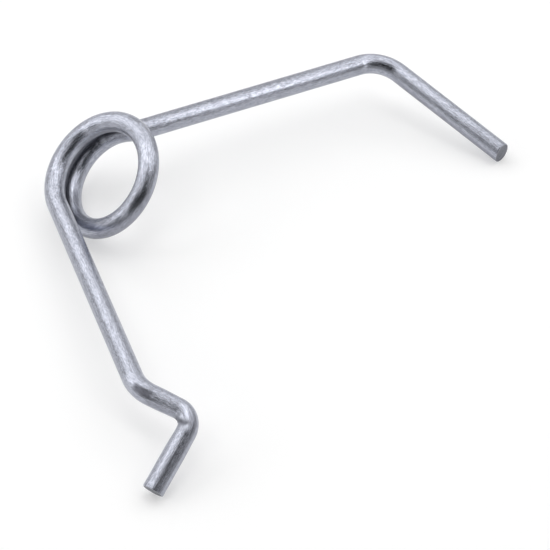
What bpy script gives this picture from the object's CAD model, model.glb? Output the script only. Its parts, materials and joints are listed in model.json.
"""Torsion spring of drawn steel wire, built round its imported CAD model."""
import json
import math

import bpy
import numpy as np
from bpy.props import FloatProperty, FloatVectorProperty, PointerProperty
from mathutils import Matrix, Vector


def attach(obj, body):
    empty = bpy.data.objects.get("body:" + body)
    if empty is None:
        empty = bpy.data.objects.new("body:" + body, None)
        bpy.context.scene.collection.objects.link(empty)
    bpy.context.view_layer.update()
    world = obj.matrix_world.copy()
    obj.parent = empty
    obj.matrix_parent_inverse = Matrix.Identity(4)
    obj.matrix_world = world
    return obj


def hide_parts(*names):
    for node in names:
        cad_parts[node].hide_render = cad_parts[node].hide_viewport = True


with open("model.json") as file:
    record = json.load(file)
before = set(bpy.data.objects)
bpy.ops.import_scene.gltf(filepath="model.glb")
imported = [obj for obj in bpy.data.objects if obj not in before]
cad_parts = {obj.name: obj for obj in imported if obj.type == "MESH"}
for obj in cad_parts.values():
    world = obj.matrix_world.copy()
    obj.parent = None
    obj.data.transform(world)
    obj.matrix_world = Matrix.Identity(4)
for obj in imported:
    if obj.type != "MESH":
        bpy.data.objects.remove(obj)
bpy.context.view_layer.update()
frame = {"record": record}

bl_info = {
    "name": "Torsion Spring",
    "version": (1, 0, 0),
    "blender": (4, 5, 0),
    "location": "View3D > Sidebar > Spring",
    "description": "Bends a torsion spring from drawn wire and sets it on a studio floor",
    "category": "Add Mesh",
}

# The file is in metres and radians. MM turns millimetres into metres.
MM = 0.001
# The places of the hook's and the tail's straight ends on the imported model
MOUNTS = {mount["name"]: mount for mount in frame["record"]["mounts"]}


# ---------------------------------------------------------------- settings

def length(name, description, default_mm, low_mm=0.1, high_mm=100.0):
    """A length property whose default is given in millimetres."""
    return FloatProperty(
        name=name, description=description, default=default_mm * MM,
        min=low_mm * MM, max=high_mm * MM, unit="LENGTH", precision=5,
    )


def turn(name, description, default_degrees):
    """An angle property whose default is given in degrees."""
    return FloatProperty(
        name=name, description=description, default=math.radians(default_degrees),
        subtype="ANGLE",
    )


class SpringSizes(bpy.types.PropertyGroup):
    """The bending list of the wire, the same as the CAD model's."""
    wire_d: length("Wire", "Diameter of the wire", 4.0)
    coil_bore: length("Bore", "Diameter of the bore through the coil", 17.0)
    coil_turn: turn("Winding", "How far the wire winds round the coil", 490)
    coil_gap: length("Gap", "Clear gap between neighbouring turns", 1.0)
    hook_run: length("Hook run", "Straight from the cut end to the hook's corner", 11.5)
    hook_bend: turn("Hook bend", "Angle of the hook's corner", 90)
    hook_inside_r: length("Hook radius", "Inside radius of the hook's corner", 1.5)
    hook_roll: turn("Hook roll", "Roll between the hook's corner and the shoulder", 206)
    shoulder_run: length("Shoulder run", "Straight from the hook's corner to the shoulder", 5.9)
    shoulder_bend: turn("Shoulder bend", "Angle of the shoulder", 38)
    shoulder_inside_r: length("Shoulder radius", "Inside radius of the shoulder", 6.0)
    shoulder_roll: turn("Shoulder roll", "Roll between the shoulder and the coil", -41)
    hooked_leg_run: length("Hooked leg", "Straight from the shoulder to the coil", 47.1)
    exit_bend: turn("Exit kink", "Angle of the kink where the wire leaves the coil", 53)
    exit_inside_r: length("Exit radius", "Inside radius of that kink", 2.0)
    exit_roll: turn("Exit roll", "Roll from the coil's plane to that kink's plane", 130)
    kinked_leg_run: length("Kinked leg", "Straight from the coil to the elbow", 46.3)
    elbow_bend: turn("Elbow", "Angle of the elbow", 63)
    elbow_inside_r: length("Elbow radius", "Inside radius of the elbow", 6.0)
    tail_run: length("Tail", "Straight from the elbow to the middle of the cut face", 26.3)
    tail_cut_lean: turn("Tail cut", "How far the tail's cut face leans off square", 16)
    tail_cut_roll: turn("Tail cut roll", "From the elbow's inner side to the cut's longest side", 99)


def share(name, description, default):
    """A property between 0 and 1."""
    return FloatProperty(
        name=name, description=description, default=default, min=0.0, max=1.0, subtype="FACTOR",
    )


def brightness(name, description, default):
    """A property from 0 up."""
    return FloatProperty(name=name, description=description, default=default, min=0.0)


def colour(name, description, default):
    """A colour property."""
    return FloatVectorProperty(
        name=name, description=description, default=default,
        size=3, subtype="COLOR", min=0.0, max=1.0,
    )


class FinishSettings(bpy.types.PropertyGroup):
    """The colours and the gloss of the steel."""
    bright_steel: colour("Bright steel", "Polished by the die", (0.53, 0.55, 0.628))
    dark_steel: colour("Dark steel", "Where the skin is duller", (0.31, 0.322, 0.372))
    crushed_steel: colour("Crushed steel", "Where it was folded or torn", (0.25, 0.262, 0.295))
    sooty_steel: colour("Sooty steel", "Where a tool rubbed its film in", (0.12, 0.122, 0.145))
    roughness: share("Roughness", "Of the drawn skin", 0.24)


class CameraSettings(bpy.types.PropertyGroup):
    """Where the camera stands."""
    azimuth: turn("Azimuth", "Way the camera looks, from +Y towards +X", 51.427)
    elevation: turn("Elevation", "Height of the camera over the floor", 47.954)
    roll: turn("Roll", "Turn of the camera about its own axis", 0.13)
    distance: length("Distance", "From the camera to the point it aims at", 404.14, 10, 5000)
    aim_x: length("Aim X", "Point on the floor that the camera aims at", 0.19, -500, 500)
    aim_y: length("Aim Y", "Point on the floor that the camera aims at", -15.19, -500, 500)
    lens: FloatProperty(name="Lens", description="Focal length", default=139.3, unit="CAMERA")


class LightSettings(bpy.types.PropertyGroup):
    """How bright the studio is."""
    lamps: brightness("Lamps", "Brightness of the soft boxes", 1.0)
    room: brightness("Room", "Brightness of the room round the floor", 1.0)
    floor: share("Floor", "How pale the floor is", 0.62)
    floor_glow: brightness("Floor glow", "What lifts the floor to white", 0.40)


# ---------------------------------------------------------------- the wire's path

# The coil is wound as arcs of this many degrees at most, with a small roll on both sides of each.
LONGEST_COIL_ARC = 41


def unit(v):
    """The vector with its length made 1."""
    return v / np.linalg.norm(v)


def bending_list(sizes):
    """Runs, bends and rolls from the hook's cut end to the tail's."""
    r = sizes.wire_d / 2
    coil_r = sizes.coil_bore / 2 + r
    rise = (sizes.wire_d + sizes.coil_gap) / math.tau
    slope2 = coil_r ** 2 + rise ** 2
    arcs = math.ceil(math.degrees(sizes.coil_turn) / LONGEST_COIL_ARC)
    arc_wire = sizes.coil_turn * math.sqrt(slope2) / arcs
    half_roll = ("roll", arc_wire * rise / slope2 / 2)
    arc = ("bend", slope2 / coil_r, arc_wire * coil_r / slope2)
    return [
        ("run", sizes.hook_run),
        ("bend", sizes.hook_inside_r + r, sizes.hook_bend),
        ("roll", sizes.hook_roll),
        ("run", sizes.shoulder_run),
        ("bend", sizes.shoulder_inside_r + r, sizes.shoulder_bend),
        ("roll", sizes.shoulder_roll),
        ("run", sizes.hooked_leg_run),
        *([half_roll, arc, half_roll] * arcs),
        ("roll", sizes.exit_roll),
        ("bend", sizes.exit_inside_r + r, sizes.exit_bend),
        ("roll", -sizes.exit_roll),
        ("run", sizes.kinked_leg_run),
        ("bend", sizes.elbow_inside_r + r, sizes.elbow_bend),
        ("run", sizes.tail_run),
    ]


class Path:
    """Stations along the wire: its place, its heading, a side that never twists, how far along the
    wire it is (s), and the angle from the side to the way in which the wire bends there (inward)."""

    def __init__(self, steps, run_step, bend_step):
        self.rows = []
        self.rolled = 0.0
        self.along = 0.0
        place = np.zeros(3)
        heading = np.array([1.0, 0.0, 0.0])
        side = np.array([0.0, 1.0, 0.0])
        for kind, size, *angle in steps:
            if kind == "roll":
                side = math.cos(size) * side + math.sin(size) * np.cross(heading, side)
                self.rolled += size
            elif kind == "run":
                for part in self.parts(size, run_step):
                    self.add(place + part * size * heading, heading, side, part * size)
                place = place + size * heading
                self.along += size
            else:
                for part in self.parts(angle[0], bend_step):
                    a = part * angle[0]
                    here = place + size * self.sweep(heading, side, a)
                    self.add(here, *self.swing(heading, side, a), a * size)
                a = angle[0]
                place = place + size * self.sweep(heading, side, a)
                heading, side = self.swing(heading, side, a)
                self.along += a * size
        self.add(place, heading, side, 0.0)
        columns = [np.array(column) for column in zip(*self.rows)]
        self.place, self.heading, self.side, self.s, self.inward = columns

    @staticmethod
    def parts(size, step):
        """Shares of the size, no further apart than the step, without the far end."""
        count = max(1, math.ceil(size / step))
        return [k / count for k in range(count)]

    @staticmethod
    def sweep(heading, side, a):
        """How far a bend of radius 1 has moved after the angle a."""
        return math.sin(a) * heading + (1 - math.cos(a)) * side

    @staticmethod
    def swing(heading, side, a):
        """The heading and the side after the angle a."""
        return math.cos(a) * heading + math.sin(a) * side, math.cos(a) * side - math.sin(a) * heading

    def add(self, place, heading, side, ahead):
        """Adds a station; its side is turned back by all the rolls so far."""
        across = np.cross(heading, side)
        still = math.cos(self.rolled) * side - math.sin(self.rolled) * across
        self.rows.append((place, heading, still, self.along + ahead, self.rolled))


def lay_on_mounts(path, sizes):
    """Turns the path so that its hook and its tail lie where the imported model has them."""
    hook, tail = MOUNTS["hook_end"], MOUNTS["tail_end"]

    def half(mount):
        return mount["dims"]["length_mm"] * MM / 2

    def basis(heading, reach):
        second = unit(reach - heading * (reach @ heading))
        return np.column_stack([heading, second, np.cross(heading, second)])

    hook_heading = -unit(np.array(hook["axis"]))
    start = np.array(hook["pos_m"]) - half(hook) * hook_heading
    tail_middle = path.place[-1] - (sizes.tail_run - half(tail)) * path.heading[-1]
    have = basis(path.heading[0], tail_middle - path.place[0])
    want = basis(hook_heading, np.array(tail["pos_m"]) - start)
    rotation = want @ have.T
    path.place = path.place @ rotation.T + start
    path.heading = path.heading @ rotation.T
    path.side = path.side @ rotation.T


# ---------------------------------------------------------------- mesh

# Points round the wire
SEGMENTS = 88
# How far the skin lies inside the CAD model's
SKIN_CLEARANCE = 0.008 * MM


def step_up(x, low, high):
    """0 below low, 1 above high, smooth between them."""
    t = np.clip((x - low) / (high - low), 0.0, 1.0)
    return t * t * (3 - 2 * t)


def window(x, low, high, fade):
    """1 between low and high, fading to 0 over the fade on both sides."""
    return step_up(x, low - fade, low) * (1 - step_up(x, high, high + fade))


def angle_from(theta, middle):
    """How far round the wire theta lies from middle, between -pi and pi."""
    return (theta - middle + math.pi) % math.tau - math.pi


# A tool's flat reaches this far round the wire to either side of its middle.
FLAT_REACH = math.radians(80)
# The edges of a flat are rounded over this share of its depth.
FLAT_SOFTNESS = 0.25
# Keeps the softened edge's exponential within range
LARGEST_EXPONENT = 30
# A dent has fallen to half its depth at its half length and half width.
DENT_FALL = 0.7
# A score fades in and out over this length.
SCORE_FADE = 1.5 * MM
# The folded corner's dark line fades over this angle at both ends.
FOLD_FADE = 0.6


class Surface:
    """The wire's skin by station and segment: its radius, a shift along the wire, and three masks.
    They tell where a tool touched it, where it was crushed and where it is sooty."""

    def __init__(self, path, wire_r):
        self.wire_r = wire_r - SKIN_CLEARANCE
        self.s = path.s[:, None]
        self.theta = (np.arange(SEGMENTS) * math.tau / SEGMENTS)[None, :]
        self.radius = np.full((len(path.s), SEGMENTS), self.wire_r)
        self.shift = np.zeros_like(self.radius)
        self.tool = np.zeros_like(self.radius)
        self.crushed = np.zeros_like(self.radius)
        self.sooty = np.zeros_like(self.radius)

    def oval(self, inward, low, high, amount):
        """Bending draws the wire in on the inside and the outside of a bend."""
        share = window(self.s, low, high, 2 * self.wire_r)
        self.radius -= self.wire_r * amount * share * np.cos(angle_from(self.theta, inward)) ** 2

    def flat(self, middle, low, high, depth, fade, tool=1.0):
        """A flat pressed or drawn along the wire, square to the direction middle."""
        share = window(self.s, low, high, fade)
        off = angle_from(self.theta, middle)
        faces = np.abs(off) < FLAT_REACH
        plane = (self.wire_r - depth) / np.maximum(np.cos(off), math.cos(FLAT_REACH))
        soft = FLAT_SOFTNESS * depth
        over = (self.radius - plane) / soft
        rounded = np.logaddexp(0.0, np.clip(over, -LARGEST_EXPONENT, LARGEST_EXPONENT))
        self.radius -= share * np.where(faces, soft * rounded, 0.0)
        self.tool = np.maximum(self.tool, tool * share * step_up(over * faces, -0.5, 1.5))

    def dent(self, middle, at, length, width, depth):
        """A round-bottomed dent; length and width are from its middle to half its depth."""
        around = angle_from(self.theta, middle) * self.wire_r / width
        along = (self.s - at) / length
        shape = np.exp(-DENT_FALL * (around ** 2 + along ** 2))
        self.radius -= depth * shape
        self.tool = np.maximum(self.tool, step_up(shape, 0.3, 0.7))

    def stain(self, middle, low, high, width, fade, strength=1.0):
        """A dark scuff along the wire, where a tool rubbed its film in; width is to one side."""
        across = np.abs(angle_from(self.theta, middle)) * self.wire_r
        beside = 1 - step_up(across, 0.7 * width, 1.3 * width)
        patch = window(self.s, low, high, fade) * beside
        self.sooty = np.maximum(self.sooty, strength * patch)

    def fold_line(self, points, strength, depth):
        """A dark line that wanders round the wire. Each point has its place round the wire in
        degrees, and its place along it and the line's half width in millimetres."""
        turns = [math.radians(point[0]) for point in points]
        middle = (turns[0] + turns[-1]) / 2
        around = middle + angle_from(self.theta, middle)
        here = np.interp(around, turns, [point[1] * MM for point in points])
        half = np.interp(around, turns, [point[2] * MM for point in points])
        share = window(around, turns[0] + FOLD_FADE, turns[-1] - FOLD_FADE, FOLD_FADE)
        line = share * np.exp(-((self.s - here) / half) ** 2)
        self.sooty = np.maximum(self.sooty, strength * line)
        self.radius -= depth * line

    def lean_end(self, total, lean, longest, reach):
        """Moves the skin near the far end along the wire, so that its cut face leans."""
        share = step_up(self.s, total - reach, total)
        self.shift = share * math.tan(lean) * self.radius * np.cos(angle_from(self.theta, longest))

    def groove(self, middle, low, high, width, depth, lean=0.0):
        """A score along the wire; lean moves its middle round the wire from end to end."""
        here = middle + lean * (self.s - low) / (high - low)
        across = angle_from(self.theta, here) * self.wire_r / width
        self.radius -= depth * np.exp(-across ** 2) * window(self.s, low, high, SCORE_FADE)

    def crease(self, middle, at, width, depth, span, slant=0.0):
        """A fold across the wire, deepest at middle and gone at span to either side of it; slant
        is how far it moves along the wire for each radian round it."""
        off = angle_from(self.theta, middle)
        here = at + slant * off
        share = np.cos(np.clip(off / span, -1, 1) * math.pi / 2) ** 0.7
        self.radius -= depth * share * np.exp(-((self.s - here) / width) ** 2)
        crushed_width = 2.2 * width
        patch = share * np.exp(-((self.s - here) / crushed_width) ** 2)
        self.crushed = np.maximum(self.crushed, patch)

    def swell(self, rng, height, lobes, reach):
        """The slow waviness that drawing leaves: long low ridges that wander along the wire."""
        total = np.zeros_like(self.radius)

        def wave(slowest, fastest):
            pace = rng.uniform(slowest, fastest)
            return np.sin(self.s / reach * pace + rng.uniform(0, math.tau))

        for lobe in lobes:
            drift = np.zeros_like(self.s)
            for _ in range(3):
                height_of_wave = rng.uniform(0.4, 1.2)
                drift += height_of_wave * wave(0.5, 2.0)
            swing = 0.6 + 0.4 * wave(0.4, 1.2)
            turned = lobe * self.theta + drift + rng.uniform(0, math.tau)
            total += swing * np.sin(turned) / lobe ** 0.6
        self.radius += height * (total / np.abs(total).max() - 1)

    def round_end(self, from_end, corner):
        """Rounds the rim of a cut end, whose radius, corner, may differ round the rim."""
        short = np.clip(corner - from_end, 0.0, corner)
        self.radius -= corner - np.sqrt(np.maximum(corner ** 2 - short ** 2, 0.0))


def with_close_rows(path, distances):
    """Adds stations at these distances from both cut ends, where the wire runs straight."""
    total = path.s[-1]
    s = np.unique(np.concatenate([path.s, distances, total - distances]).round(9))
    mix = {}
    for name in ("place", "heading", "side"):
        rows = getattr(path, name)
        mix[name] = np.column_stack([np.interp(s, path.s, rows[:, k]) for k in range(3)])
    for name in ("heading", "side"):
        mix[name] /= np.linalg.norm(mix[name], axis=1)[:, None]
    path.inward = np.interp(s, path.s, path.inward)
    path.s = s
    for name, rows in mix.items():
        setattr(path, name, rows)


# The rings of points on a cut face, as shares of the radius at its rim
CAP_RINGS = (0.96, 0.88, 0.76, 0.62, 0.46, 0.3, 0.14)


def wire_mesh(name, path, surface, relief):
    """A tube round the path, closed with a relief on each cut end."""
    n = len(path.s)
    theta = surface.theta[0]
    cosine = np.cos(theta)
    sine = np.sin(theta)
    side = path.side[:, None, :]
    up = np.cross(path.heading, path.side)[:, None, :]
    spoke = cosine[None, :, None] * side + sine[None, :, None] * up
    skin = path.place[:, None, :] + surface.radius[:, :, None] * spoke
    skin += surface.shift[:, :, None] * path.heading[:, None, :]
    points = [skin.reshape(-1, 3)]
    # Where each point would lie if the wire were straight, along X
    straight = [np.stack([
        path.s[:, None] + surface.shift,
        surface.radius * cosine[None, :],
        surface.radius * sine[None, :],
    ], axis=2).reshape(-1, 3)]
    around = np.arange(SEGMENTS)
    after = (around + 1) % SEGMENTS

    def band(first, second):
        return np.column_stack([first + around, first + after, second + after, second + around])

    quads = [band(i * SEGMENTS, (i + 1) * SEGMENTS) for i in range(n - 1)]
    side_count = (n - 1) * SEGMENTS
    triangles = []
    count = n * SEGMENTS
    for end, into in ((0, 1.0), (n - 1, -1.0)):
        ring = end * SEGMENTS
        for share in (*CAP_RINGS, 0.0):
            r = share * surface.radius[end]
            depth = relief(end == 0, r * cosine, r * sine, share)
            along = into * depth + share * surface.shift[end]
            spokes, turned = spoke[end], theta
            if share == 0.0:
                r, along, spokes, turned = r[:1], along[:1], spokes[:1], turned[:1]
            points.append(path.place[end] + r[:, None] * spokes + along[:, None] * path.heading[end])
            straight.append(np.column_stack([path.s[end] + along, r * np.cos(turned), r * np.sin(turned)]))
            if share == 0.0:
                middle = np.full(SEGMENTS, count)
                fan = np.column_stack([ring + around, ring + after, middle])
                triangles.append(fan[:, ::-1] if end == 0 else fan)
            else:
                strip = band(ring, count)
                quads.append(strip[:, ::-1] if end == 0 else strip)
                ring = count
            count += len(r)
    quads = np.concatenate(quads)
    triangles = np.concatenate(triangles)
    mesh = bpy.data.meshes.new(name)
    mesh.from_pydata(np.concatenate(points).tolist(), [], quads.tolist() + triangles.tolist())
    indices = np.ones(len(mesh.polygons), dtype=np.int32)
    indices[:side_count] = 0
    mesh.polygons.foreach_set("material_index", indices)
    mesh.polygons.foreach_set("use_smooth", np.ones(len(mesh.polygons), dtype=bool))
    layer = mesh.attributes.new("straight", "FLOAT_VECTOR", "POINT")
    layer.data.foreach_set("vector", np.concatenate(straight).astype(np.float32).ravel())
    lay_wrap(mesh, straight, quads, triangles, side_count, surface.wire_r)
    for mask_name in ("tool", "crushed", "sooty"):
        values = np.zeros(count, dtype=np.float32)
        values[: n * SEGMENTS] = getattr(surface, mask_name).ravel()
        mesh.attributes.new(mask_name, "FLOAT", "POINT").data.foreach_set("value", values)
    mesh.update()
    return mesh


def lay_wrap(mesh, straight, quads, triangles, side_count, wire_r):
    """A UV map with U round the wire and V along it. It tells the shader which way the wire was
    drawn. A face across the seam, where U starts again, keeps its corners together."""
    flat = np.concatenate(straight)
    corners = np.concatenate([quads.ravel(), triangles.ravel()])
    u = np.arctan2(flat[:, 2], flat[:, 1])[corners] / math.tau % 1.0
    v = flat[:, 0][corners] / (math.tau * wire_r)
    first = u[: 4 * side_count].reshape(-1, 4)
    first[(first < 0.25) & (first.max(axis=1) > 0.75)[:, None]] += 1.0
    wrap = mesh.uv_layers.new(name="wrap")
    wrap.data.foreach_set("uv", np.column_stack([u, v]).astype(np.float32).ravel())


def link(obj):
    """Puts an object in the scene and returns it."""
    bpy.context.scene.collection.objects.link(obj)
    return obj


# ---------------------------------------------------------------- node helpers

def node(tree, kind, **settings):
    """A new node with its own settings."""
    made = tree.nodes.new(kind)
    for name, value in settings.items():
        setattr(made, name, value)
    return made


def math_node(tree, operation, *values):
    """A Math node; each value is a socket or a number."""
    made = node(tree, "ShaderNodeMath", operation=operation)
    for slot, value in enumerate(values):
        if isinstance(value, bpy.types.NodeSocket):
            tree.links.new(value, made.inputs[slot])
        else:
            made.inputs[slot].default_value = value
    return made.outputs[0]


def ramp(tree, value, low, high, out_low=0.0, out_high=1.0):
    """Maps value from low..high to out_low..out_high and holds it there."""
    made = node(tree, "ShaderNodeMapRange", clamp=True)
    tree.links.new(value, made.inputs["Value"])
    made.inputs["From Min"].default_value = low
    made.inputs["From Max"].default_value = high
    made.inputs["To Min"].default_value = out_low
    made.inputs["To Max"].default_value = out_high
    return made.outputs["Result"]


def mix_colour(tree, share, first, second):
    """A mix of two colours; each is a socket or a plain colour."""
    made = node(tree, "ShaderNodeMix", data_type="RGBA")
    tree.links.new(share, made.inputs["Factor"])
    for slot, value in (("A", first), ("B", second)):
        socket = [s for s in made.inputs if s.name == slot and s.type == "RGBA"][0]
        if isinstance(value, bpy.types.NodeSocket):
            tree.links.new(value, socket)
        else:
            socket.default_value = (*value, 1)
    return [s for s in made.outputs if s.type == "RGBA"][0]


def new_group(name, inputs):
    """An empty shader group with number inputs and one number output, called Value."""
    tree = bpy.data.node_groups.new(name, "ShaderNodeTree")
    for label, default in inputs:
        socket = tree.interface.new_socket(name=label, in_out="INPUT", socket_type="NodeSocketFloat")
        socket.default_value = default
    tree.interface.new_socket(name="Value", in_out="OUTPUT", socket_type="NodeSocketFloat")
    return tree, tree.nodes.new("NodeGroupInput"), tree.nodes.new("NodeGroupOutput")


def drawn_lines_group():
    """Lines along the wire, from 0 to 1; Width and Length are in metres."""
    inputs = (("Width", 0.2 * MM), ("Length", 10 * MM), ("Seed", 0.0))
    tree, given, out = new_group("drawn_lines", inputs)
    place = node(tree, "ShaderNodeAttribute", attribute_type="GEOMETRY", attribute_name="straight")
    split = node(tree, "ShaderNodeSeparateXYZ")
    tree.links.new(place.outputs["Vector"], split.inputs[0])
    joined = node(tree, "ShaderNodeCombineXYZ")
    along = math_node(tree, "DIVIDE", split.outputs["X"], given.outputs["Length"])
    tree.links.new(math_node(tree, "ADD", along, given.outputs["Seed"]), joined.inputs["X"])
    for axis in ("Y", "Z"):
        across = math_node(tree, "DIVIDE", split.outputs[axis], given.outputs["Width"])
        tree.links.new(across, joined.inputs[axis])
    noise = node(tree, "ShaderNodeTexNoise", noise_dimensions="3D", normalize=True)
    noise.inputs["Scale"].default_value = 1.0
    noise.inputs["Detail"].default_value = 1.5
    noise.inputs["Roughness"].default_value = 0.55
    tree.links.new(joined.outputs[0], noise.inputs["Vector"])
    tree.links.new(noise.outputs[0], out.inputs["Value"])
    return tree


def blotches_group():
    """Cloudy patches, from 0 to 1; Size is in metres."""
    tree, given, out = new_group("blotches", (("Size", 1 * MM), ("Seed", 0.0)))
    place = node(tree, "ShaderNodeAttribute", attribute_type="GEOMETRY", attribute_name="straight")
    scaled = node(tree, "ShaderNodeVectorMath", operation="SCALE")
    tree.links.new(place.outputs["Vector"], scaled.inputs[0])
    tree.links.new(math_node(tree, "DIVIDE", 1.0, given.outputs["Size"]), scaled.inputs["Scale"])
    noise = node(tree, "ShaderNodeTexNoise", noise_dimensions="4D", normalize=True)
    noise.inputs["Scale"].default_value = 1.0
    noise.inputs["Detail"].default_value = 3.0
    noise.inputs["Roughness"].default_value = 0.6
    tree.links.new(scaled.outputs[0], noise.inputs["Vector"])
    tree.links.new(given.outputs["Seed"], noise.inputs["W"])
    tree.links.new(noise.outputs[0], out.inputs["Value"])
    return tree


def place_group(tree, group, **values):
    """Places a group in a material with its own values."""
    made = node(tree, "ShaderNodeGroup", node_tree=group)
    for name, value in values.items():
        made.inputs[name].default_value = value
    return made.outputs["Value"]


def mask(tree, name):
    """One of the mesh's masks."""
    made = node(tree, "ShaderNodeAttribute", attribute_type="GEOMETRY", attribute_name=name)
    return made.outputs["Fac"]


def bump(tree, height, distance, normal=None):
    """A bump of a height from 0 to 1 times the distance, on top of another bump's normal."""
    made = node(tree, "ShaderNodeBump")
    made.inputs["Strength"].default_value = 1.0
    made.inputs["Distance"].default_value = distance
    tree.links.new(height, made.inputs["Height"])
    if normal is not None:
        tree.links.new(normal, made.inputs["Normal"])
    return made.outputs["Normal"]


def metal(name):
    """A metal with no texture yet; returns it, its tree and its shader."""
    mat = bpy.data.materials.new(name)
    mat.use_nodes = True
    tree = mat.node_tree
    shader = tree.nodes["Principled BSDF"]
    shader.inputs["Metallic"].default_value = 1.0
    return mat, tree, shader


# How far the fine lines spread the roughness, and what rubbing or crushing adds to it
LINE_ROUGHNESS = 0.16
WORN_ROUGHNESS = 0.16
# The grain's bump on skin that nothing has rubbed, as a share of the bump where it is crushed
UNWORN_GRAIN = 0.16
# How strongly a tool's touch shows, as a share of a crushed place
TOOL_WEAR = 0.35


def drawn_steel(finish, lines, blotches):
    """The skin: drawing lines, specks and clouds, rubbed and sooty places; its gloss stretches
    across the lines."""
    mat, tree, shader = metal("drawn_steel")
    shader.inputs["Anisotropic"].default_value = 0.93
    drawn = node(tree, "ShaderNodeTangent", direction_type="UV_MAP", uv_map="wrap")
    tree.links.new(drawn.outputs["Tangent"], shader.inputs["Tangent"])
    fine = place_group(tree, lines, Width=0.13 * MM, Length=2.4 * MM, Seed=3.0)
    broad = place_group(tree, lines, Width=0.26 * MM, Length=2.6 * MM, Seed=11.0)
    cloud = place_group(tree, blotches, Size=1.3 * MM, Seed=2.0)
    grain = place_group(tree, blotches, Size=0.16 * MM, Seed=7.0)
    speckle = place_group(tree, lines, Width=0.2 * MM, Length=0.7 * MM, Seed=21.0)
    touched = math_node(tree, "MULTIPLY", mask(tree, "tool"), TOOL_WEAR)
    worn = math_node(tree, "MAXIMUM", mask(tree, "crushed"), touched)
    shade = math_node(tree, "MULTIPLY", broad, 0.3)
    shade = math_node(tree, "MULTIPLY_ADD", cloud, 0.2, shade)
    shade = math_node(tree, "MULTIPLY_ADD", speckle, 0.5, shade)
    bare = mix_colour(tree, ramp(tree, shade, 0.36, 0.62), finish.dark_steel, finish.bright_steel)
    rubbed = math_node(tree, "MULTIPLY", worn, ramp(tree, grain, 0.3, 0.7, 0.25, 1.0))
    worked = mix_colour(tree, rubbed, bare, finish.crushed_steel)
    soot = math_node(tree, "MULTIPLY", mask(tree, "sooty"), ramp(tree, fine, 0.3, 0.5, 0.75, 1.0))
    tree.links.new(mix_colour(tree, soot, worked, finish.sooty_steel), shader.inputs["Base Color"])
    smoothest = finish.roughness - LINE_ROUGHNESS / 2
    rough = math_node(tree, "MULTIPLY_ADD", fine, LINE_ROUGHNESS, smoothest)
    rough = math_node(tree, "MULTIPLY_ADD", worn, WORN_ROUGHNESS, rough)
    tree.links.new(rough, shader.inputs["Roughness"])
    first = bump(tree, broad, 0.016 * MM)
    second = bump(tree, fine, 0.04 * MM, first)
    pitted = math_node(tree, "MULTIPLY", grain, math_node(tree, "ADD", worn, UNWORN_GRAIN))
    tree.links.new(bump(tree, pitted, 0.05 * MM, second), shader.inputs["Normal"])
    return mat


def sheared_steel(finish, blotches):
    """The cut faces: grainy and dull."""
    mat, tree, shader = metal("sheared_steel")
    grain = place_group(tree, blotches, Size=0.22 * MM, Seed=5.0)
    tone = mix_colour(tree, ramp(tree, grain, 0.35, 0.65), finish.sooty_steel, finish.crushed_steel)
    tree.links.new(tone, shader.inputs["Base Color"])
    tree.links.new(ramp(tree, grain, 0.3, 0.7, 0.34, 0.5), shader.inputs["Roughness"])
    tree.links.new(bump(tree, grain, 0.06 * MM), shader.inputs["Normal"])
    return mat


# ---------------------------------------------------------------- marks on the wire

# In these tables a place round the wire and a lean are in degrees, and every length is in
# millimetres. A start, an end and a place along the wire are measured from the hook's cut end.

# Where the bending tools held and pressed the wire: middle round the wire, start, end, depth, fade.
PRESSED_FLATS = (
    # at the hook's corner
    (20, 10.0, 11.4, 0.08, 0.6),
    # at the shoulder
    (76, 22.6, 24.4, 0.09, 1.6),
    # where the wire leaves the coil
    (144, 159.4, 160.6, 0.10, 0.4),
    # at the elbow
    (166, 218.6, 222.6, 0.03, 2.8),
)

# The flat that the die left along the kinked leg, given the same way.
DRAWN_FLATS = (
    (151, 170.0, 216.0, 0.02, 4.0),
)

# Nicks from handling: middle round the wire, place along it, half length, half width, depth.
DENTS = (
    (108, 98.3, 0.16, 0.14, 0.07),
    (130, 83.0, 0.35, 0.22, 0.05),
    (118, 83.8, 0.25, 0.20, 0.04),
    (48, 113.3, 0.50, 0.35, 0.05),
    (144, 161.0, 0.30, 0.50, 0.06),
    (76, 23.6, 1.50, 0.70, 0.07),
)

# Scores along the wire: middle round the wire, start, end, width, depth, lean.
SCORES = (
    (66, 15.6, 21.4, 0.07, 0.008, -3),
    (146, 231.0, 249.0, 0.10, 0.020, -3),
    (153, 229.0, 249.0, 0.09, 0.016, 4),
    (163, 230.0, 248.6, 0.10, 0.020, 2),
)

# Dark scuffs along the wire: middle round the wire, start, end, half width, fade, and a strength
# from 0 to 1.
SCUFFS = (
    (134, 0.3, 13.6, 0.80, 1.8, 0.48),
    (66, 15.8, 21.6, 0.06, 0.6, 0.35),
    (76, 22.2, 25.0, 0.72, 1.1, 0.80),
    (30, 14.6, 21.8, 0.55, 1.6, 0.36),
    (48, 29.0, 71.0, 0.40, 4.0, 0.14),
    (137, 32.0, 74.0, 0.30, 5.0, 0.16),
    (131, 86.0, 91.5, 0.70, 2.6, 0.16),
    (48, 117.0, 123.0, 0.50, 2.6, 0.12),
    (110, 143.0, 166.0, 1.05, 4.0, 0.86),
    (245, 75.0, 99.0, 1.70, 4.0, 0.85),
    (190, 92.0, 101.0, 0.95, 4.0, 0.60),
    (5, 121.0, 136.0, 1.30, 5.0, 0.40),
    (215, 227.0, 250.0, 0.80, 3.0, 0.40),
    (190, 172.0, 214.0, 0.60, 4.0, 0.16),
    (144, 161.0, 161.5, 0.25, 0.4, 0.5),
    (150, 169.0, 215.0, 0.22, 2.0, 0.32),
    (166, 218.4, 223.4, 0.85, 2.6, 0.20),
    (155, 226.0, 249.6, 0.32, 2.0, 0.30),
)

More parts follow.
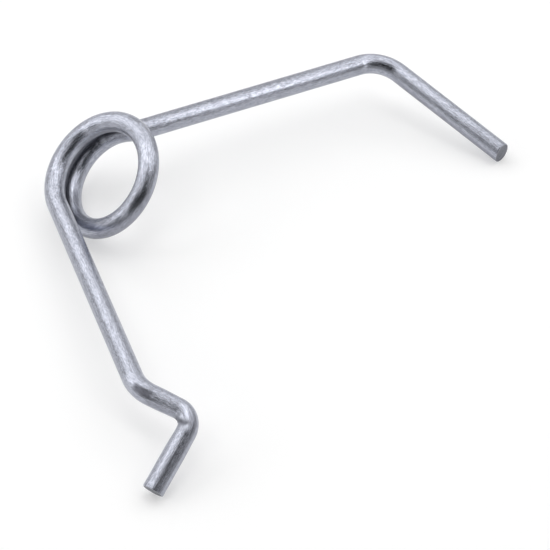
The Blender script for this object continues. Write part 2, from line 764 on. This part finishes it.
# Creases on the inner side of the hook's corner: middle round the wire, distance past the deepest
# crease, width, depth, how far it reaches round the wire in degrees, and how far it moves along the
# wire for each radian round it.
CREASES = (
    (10, 0.0, 0.55, 0.16, 120, -0.5),
    (0, 1.2, 0.40, 0.10, 80, 0.2),
    (0, -1.0, 0.30, 0.07, 60, 0.1),
)

# The folded corner's dark line: place round the wire, place along it, half width.
FOLD_LINE = (
    (-60, 15.6, 0.5),
    (30, 14.8, 0.9),
    (58, 13.5, 0.8),
    (80, 12.8, 0.45),
    (100, 12.9, 0.3),
    (125, 13.3, 0.25),
)
# How dark that line is, from 0 to 1, and how deep
FOLD_DARKNESS = 0.75
FOLD_DEPTH = 0.04 * MM
# The place of the deepest crease, as a share of the way round the hook's corner
FOLD_SHARE = 0.36
# How much the hook's corner draws the wire in, as a share of its radius
HOOK_OVAL = 0.05

# The waviness that drawing left: its height to either side of its mean, how many ridges its waves
# have round the wire, how far they reach along it, and the seed of the random draws
SWELL_HEIGHT = 0.004 * MM
SWELL_RIDGES = (3, 5, 8, 13, 17)
SWELL_REACH = 14 * MM
SWELL_SEED = 40

# The mean radius of the rim at each cut end, and the waves that make it uneven: how many go round
# the rim, their height as a share of that radius, and their phase
HOOK_RIM = 0.16 * MM
HOOK_RIM_WAVES = ((2, 0.35, 1.0), (5, 0.2, 0.0))
TAIL_RIM = 0.09 * MM
TAIL_RIM_WAVES = ((3, 0.3, 0.0),)
# The length over which the tail's end leans
TAIL_LEAN_REACH = 3 * MM

# The direction round the wire of each cut face's torn side
HOOK_TORN_WAY = 0.8
TAIL_TORN_WAY = 2.4
# Where the torn side starts and where it has its whole depth, measured that way from the middle
TORN_EDGE = (-0.4 * MM, 0.3 * MM)
# How far the sheared side lies inside the rim, and how much further the torn side
SHEARED_DEPTH = 0.02 * MM
TORN_DEPTH = 0.05 * MM
# The torn side's bumps: radians for each millimetre across the face and a phase, the same up the
# face, and their height in millimetres
TORN_BUMPS = (
    (9, 1, 7, 2, 0.020),
    (17, 0, 19, 1, 0.012),
)


def uneven_rim(theta, rim, waves):
    """The radius of a cut end's rim all the way round it."""
    return rim * sum((height * np.sin(count * theta + phase) for count, height, phase in waves), 1.0)


def work_surface(path, surface, sizes):
    """Everything that drawing, bending and cutting left on the wire."""
    rng = np.random.default_rng(SWELL_SEED)
    total = path.s[-1]
    hook_end = sizes.hook_run
    hook_arc = sizes.hook_bend * (sizes.hook_inside_r + sizes.wire_d / 2)
    surface.swell(rng, SWELL_HEIGHT, SWELL_RIDGES, SWELL_REACH)
    for middle, low, high, depth, fade in DRAWN_FLATS:
        surface.flat(math.radians(middle), low * MM, high * MM, depth * MM, fade * MM, tool=0.0)
    surface.oval(0.0, hook_end, hook_end + hook_arc, HOOK_OVAL)
    for middle, low, high, depth, fade in PRESSED_FLATS:
        surface.flat(math.radians(middle), low * MM, high * MM, depth * MM, fade * MM)
    fold = hook_end + FOLD_SHARE * hook_arc
    for middle, past_fold, width, depth, span, slant in CREASES:
        surface.crease(
            math.radians(middle), fold + past_fold * MM, width * MM, depth * MM,
            math.radians(span), slant * MM,
        )
    surface.fold_line(FOLD_LINE, FOLD_DARKNESS, FOLD_DEPTH)
    for middle, at, length, width, depth in DENTS:
        surface.dent(math.radians(middle), at * MM, length * MM, width * MM, depth * MM)
    for middle, low, high, width, depth, lean in SCORES:
        surface.groove(
            math.radians(middle), low * MM, high * MM, width * MM, depth * MM, math.radians(lean),
        )
    for middle, low, high, width, fade, strength in SCUFFS:
        surface.stain(math.radians(middle), low * MM, high * MM, width * MM, fade * MM, strength)
    surface.round_end(surface.s, uneven_rim(surface.theta, HOOK_RIM, HOOK_RIM_WAVES))
    surface.round_end(total - surface.s, uneven_rim(surface.theta, TAIL_RIM, TAIL_RIM_WAVES))
    longest = path.inward[-1] + sizes.tail_cut_roll
    surface.lean_end(total, sizes.tail_cut_lean, longest, TAIL_LEAN_REACH)


def cut_relief(is_hook_end, x, y, share):
    """How far the cut face lies inside the end: a sheared side and a torn side."""
    way = HOOK_TORN_WAY if is_hook_end else TAIL_TORN_WAY
    torn = step_up(x * math.cos(way) + y * math.sin(way), *TORN_EDGE)
    bumps = sum(
        height * MM * np.sin(across * x / MM + phase_x) * np.sin(up * y / MM + phase_y)
        for across, phase_x, up, phase_y, height in TORN_BUMPS
    )
    depth = SHEARED_DEPTH + torn * (TORN_DEPTH + bumps)
    return depth * step_up(1.0 - share, 0.0, 0.2)


# ---------------------------------------------------------------- operators

# How far apart the stations lie: along a straight, round a bend, and next to both cut ends
RUN_STEP = 0.3 * MM
BEND_STEP = math.radians(1.5)
END_STATIONS = np.array([0.004, 0.012, 0.028, 0.05, 0.08, 0.12, 0.17, 0.23]) * MM


class SPRING_OT_wire(bpy.types.Operator):
    """Bend the spring's wire"""
    bl_idname = "spring.wire"
    bl_label = "Wire"

    def execute(self, context):
        sizes = context.scene.spring_sizes
        finish = context.scene.spring_finish
        path = Path(bending_list(sizes), RUN_STEP, BEND_STEP)
        lay_on_mounts(path, sizes)
        with_close_rows(path, END_STATIONS)
        surface = Surface(path, sizes.wire_d / 2)
        work_surface(path, surface, sizes)
        mesh = wire_mesh("wire", path, surface, cut_relief)
        piece = link(bpy.data.objects.new("wire", mesh))
        lines = drawn_lines_group()
        blotches = blotches_group()
        mesh.materials.append(drawn_steel(finish, lines, blotches))
        mesh.materials.append(sheared_steel(finish, blotches))
        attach(piece, "root")
        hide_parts("spring")
        return {"FINISHED"}


class SPRING_OT_stage(bpy.types.Operator):
    """Lay the floor, hang the lamps and set the camera"""
    bl_idname = "spring.stage"
    bl_label = "Stage"

    def execute(self, context):
        lights = context.scene.spring_lights
        lay_floor(lights)
        for box in SOFT_BOXES:
            hang_soft_box(*box, lights.lamps)
        light_room(lights.room)
        set_camera(context.scene.spring_camera)
        context.scene.view_settings.view_transform = "Standard"
        return {"FINISHED"}


# Each soft box has its name, its azimuth from +Y towards +X, its height over the floor, its turn, its
# half width and its half height, all in degrees as seen from the spring, and its brightness.
SOFT_BOXES = (
    ("box_overhead", -69, 77, 155, 14, 31, 1.48),
    ("box_back_small", -28, 57, 74, 7, 7, 2.75),
    ("box_back_low", 15, 25, 0, 22, 5, 0.55),
    ("box_back", -34, 41, -3, 8, 10, 1.41),
    ("box_left", -40, 27, -5, 19, 11, 1.39),
    ("box_back_right", 12, 48, 35, 25, 17, 1.43),
    ("box_right", 116, 57, 51, 28, 30, 1.26),
    ("box_front_right", 174, 46, 25, 3, 25, 2.5),
    ("box_side", -87, 24, 41, 14, 5, 1.28),
    ("box_right_small", 69, 34, -63, 10, 13, 0.78),
)
# From the spring to every soft box
BOX_DISTANCE = 0.9


def hang_soft_box(name, azimuth, height, turned, half_width, half_height, glow, level):
    """A rectangular lamp that faces the spring."""
    data = bpy.data.lights.new(name, "AREA")
    data.shape = "RECTANGLE"
    data.size = 2 * BOX_DISTANCE * math.tan(math.radians(half_width))
    data.size_y = 2 * BOX_DISTANCE * math.tan(math.radians(half_height))
    data.energy = level * glow * math.pi * data.size * data.size_y
    lamp = link(bpy.data.objects.new(name, data))
    a = math.radians(azimuth)
    h = math.radians(height)
    t = math.radians(turned)
    away = Vector((math.sin(a) * math.cos(h), math.cos(a) * math.cos(h), math.sin(h)))
    level_side = Vector((math.cos(a), -math.sin(a), 0))
    upright = level_side.cross(away)
    across = math.cos(t) * level_side + math.sin(t) * upright
    basis = Matrix((across, away.cross(across), away)).transposed()
    lamp.matrix_world = Matrix.Translation(away * BOX_DISTANCE) @ basis.to_4x4()


# The room's brightness in a direction is the even part, plus the rise towards each axis, plus the
# overhead part times the square of the direction's height. It is never less than 0.
ROOM_EVEN = 0.50
ROOM_TOWARDS = (0.24, 0.30, 0.0)
ROOM_OVERHEAD = -0.91


def light_room(level):
    """A dim room, brighter behind the spring and dark overhead."""
    world = bpy.data.worlds.new("room")
    bpy.context.scene.world = world
    world.use_nodes = True
    tree = world.node_tree
    tree.nodes.clear()
    way = node(tree, "ShaderNodeTexCoord").outputs["Generated"]
    slope = node(tree, "ShaderNodeVectorMath", operation="DOT_PRODUCT")
    slope.inputs[1].default_value = ROOM_TOWARDS
    tree.links.new(way, slope.inputs[0])
    split = node(tree, "ShaderNodeSeparateXYZ")
    tree.links.new(way, split.inputs[0])
    square = math_node(tree, "MULTIPLY", split.outputs["Z"], split.outputs["Z"])
    even = math_node(tree, "MULTIPLY_ADD", square, ROOM_OVERHEAD, ROOM_EVEN)
    total = math_node(tree, "ADD", even, slope.outputs["Value"])
    above_zero = math_node(tree, "MAXIMUM", total, 0.0)
    background = node(tree, "ShaderNodeBackground")
    tree.links.new(math_node(tree, "MULTIPLY", above_zero, level), background.inputs["Strength"])
    output = node(tree, "ShaderNodeOutputWorld")
    tree.links.new(background.outputs[0], output.inputs["Surface"])


# Half the floor's side
FLOOR_HALF = 3.0


def lay_floor(lights):
    """A pale floor that glows up to white where it is seen or mirrored, and keeps the shadow."""
    mesh = bpy.data.meshes.new("floor")
    corners = [(x * FLOOR_HALF, y * FLOOR_HALF, 0) for x, y in ((-1, -1), (1, -1), (1, 1), (-1, 1))]
    mesh.from_pydata(corners, [], [(0, 1, 2, 3)])
    floor = link(bpy.data.objects.new("floor", mesh))
    mat = bpy.data.materials.new("floor_white")
    mat.use_nodes = True
    tree = mat.node_tree
    shader = tree.nodes["Principled BSDF"]
    shader.inputs["Base Color"].default_value = (lights.floor, lights.floor, lights.floor, 1)
    shader.inputs["Roughness"].default_value = 1.0
    shader.inputs["Specular IOR Level"].default_value = 0.0
    shader.inputs["Emission Color"].default_value = (1, 1, 1, 1)
    rays = node(tree, "ShaderNodeLightPath").outputs
    seen = math_node(tree, "MAXIMUM", rays["Is Camera Ray"], rays["Is Glossy Ray"])
    seen = math_node(tree, "MAXIMUM", seen, rays["Is Transmission Ray"])
    glow = math_node(tree, "MULTIPLY", seen, lights.floor_glow)
    tree.links.new(glow, shader.inputs["Emission Strength"])
    mesh.materials.append(mat)


# Width of the camera's sensor in millimetres, and the nearest and the furthest that it sees
SENSOR_WIDTH = 36.0
NEAREST = 0.01
FURTHEST = 50.0


def set_camera(settings):
    """The camera, aimed at a point on the floor."""
    data = bpy.data.cameras.new("camera")
    data.lens = settings.lens
    data.sensor_width = SENSOR_WIDTH
    data.clip_start = NEAREST
    data.clip_end = FURTHEST
    camera = link(bpy.data.objects.new("camera", data))
    aim = Vector((settings.aim_x, settings.aim_y, 0))
    level = math.cos(settings.elevation)
    look = Vector((
        math.sin(settings.azimuth) * level,
        math.cos(settings.azimuth) * level,
        -math.sin(settings.elevation),
    ))
    right = look.cross(Vector((0, 0, 1))).normalized()
    up = right.cross(look)
    turned_right = math.cos(settings.roll) * right + math.sin(settings.roll) * up
    turned_up = turned_right.cross(look)
    basis = Matrix((turned_right, turned_up, -look)).transposed()
    camera.matrix_world = Matrix.Translation(aim - look * settings.distance) @ basis.to_4x4()
    bpy.context.scene.camera = camera


# ---------------------------------------------------------------- panel and add-on

SETTINGS = {
    "spring_sizes": SpringSizes,
    "spring_finish": FinishSettings,
    "spring_lights": LightSettings,
    "spring_camera": CameraSettings,
}
OPERATORS = (SPRING_OT_wire, SPRING_OT_stage)


class SPRING_PT_panel(bpy.types.Panel):
    """The spring's operators and their settings"""
    bl_label = "Torsion Spring"
    bl_space_type = "VIEW_3D"
    bl_region_type = "UI"
    bl_category = "Spring"

    def draw(self, context):
        for operator in OPERATORS:
            self.layout.operator(operator.bl_idname)
        for name, cls in SETTINGS.items():
            for setting in cls.__annotations__:
                self.layout.prop(getattr(context.scene, name), setting)


CLASSES = (*SETTINGS.values(), *OPERATORS, SPRING_PT_panel)


def register():
    for cls in CLASSES:
        bpy.utils.register_class(cls)
    for name, cls in SETTINGS.items():
        setattr(bpy.types.Scene, name, PointerProperty(type=cls))


def unregister():
    for name in SETTINGS:
        delattr(bpy.types.Scene, name)
    for cls in reversed(CLASSES):
        bpy.utils.unregister_class(cls)


def main():
    """Builds the spring on its stage."""
    register()
    bpy.ops.spring.wire()
    bpy.ops.spring.stage()


if __name__ == "__main__":
    main()
